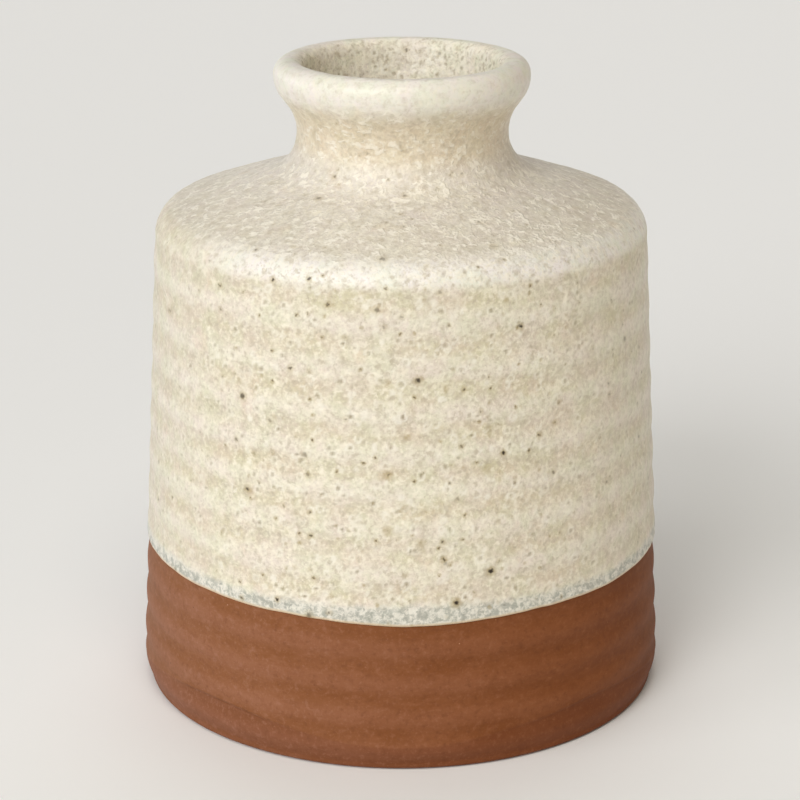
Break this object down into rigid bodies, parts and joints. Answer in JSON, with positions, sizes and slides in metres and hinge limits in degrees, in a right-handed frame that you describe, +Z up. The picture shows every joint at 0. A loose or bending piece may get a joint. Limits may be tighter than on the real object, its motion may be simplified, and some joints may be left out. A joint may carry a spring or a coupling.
{
  "type": "stoneware vase",
  "caption": "Wheel-thrown stoneware vase with a straight body, sloping shoulder, waisted neck and rolled lip, glazed cream over bare red clay.",
  "frame": {"origin": "centre of the foot, on the surface the vase stands on", "axes": "+Z up along the axis the vase was turned about; -Y faces the viewer, +X to the viewer's right"},
  "size_m": [0.13, 0.13, 0.1564],
  "materials": {
    "red_clay": "bare fired clay, matte",
    "cream_glaze": "speckled cream glaze, satin",
    "liner_glaze": "speckled cream glaze, satin"
  },
  "bodies": {
    "root": {"clay_body": "red_clay", "outer_glaze": "cream_glaze", "liner_glaze": "liner_glaze"}
  },
  "joints": []
}
